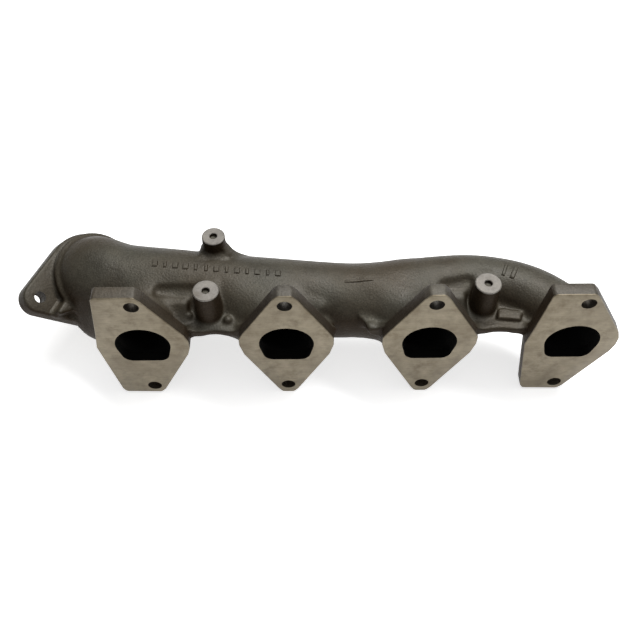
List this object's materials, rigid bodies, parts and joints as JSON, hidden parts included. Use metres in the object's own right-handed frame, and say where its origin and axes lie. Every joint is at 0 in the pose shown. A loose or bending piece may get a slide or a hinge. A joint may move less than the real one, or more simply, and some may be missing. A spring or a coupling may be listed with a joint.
{
  "type": "exhaust manifold",
  "caption": "Cast-iron log exhaust manifold with flanged D-shaped ports on one side, an angled outlet flange at one end and drilled heat-shield bosses.",
  "frame": {"origin": "centre of the eight-hole head bolt pattern, on the plane of the port flange faces", "axes": "+X along the cylinder head away from the outlet, -Y towards the cylinder head, +Z along the heat-shield bosses, up"},
  "size_m": [0.4835, 0.1301, 0.134],
  "materials": {
    "cast_body": "as-cast sand texture, dark grey-brown",
    "cast_flange": "as-cast sand texture with a machined sealing face",
    "machined_flange": "machined sealing face with a light tan oxide, as-cast edges",
    "machined_boss": "machined top face, as-cast barrel"
  },
  "bodies": {
    "root": {"port_flange_1": "machined_flange", "port_flange_2": "machined_flange", "port_flange_3": "machined_flange", "port_flange_4": "machined_flange", "runner_1": "cast_body", "runner_2": "cast_body", "runner_3": "cast_body", "runner_4": "cast_body", "log_at_port_1": "cast_body", "log_between_1_2": "cast_body", "log_at_port_2": "cast_body", "log_between_2_3": "cast_body", "log_at_port_3": "cast_body", "log_between_3_4": "cast_body", "outlet_elbow": "cast_body", "outlet_fairing": "cast_body", "outlet_collar": "cast_body", "outlet_flange": "cast_flange", "outlet_rib": "cast_body", "web_1_2": "cast_body", "web_3_4": "cast_body", "web_gusset_3": "cast_body", "web_pad": "cast_body", "web_nubs": "cast_body", "shield_boss_front_left": "machined_boss", "shield_boss_front_right": "machined_boss", "shield_boss_rear": "machined_boss", "shield_boss_rear_foot": "cast_body", "log_cast_marks": "cast_body", "log_end_marks": "cast_body", "log_cast_bar": "cast_body"}
  },
  "joints": []
}
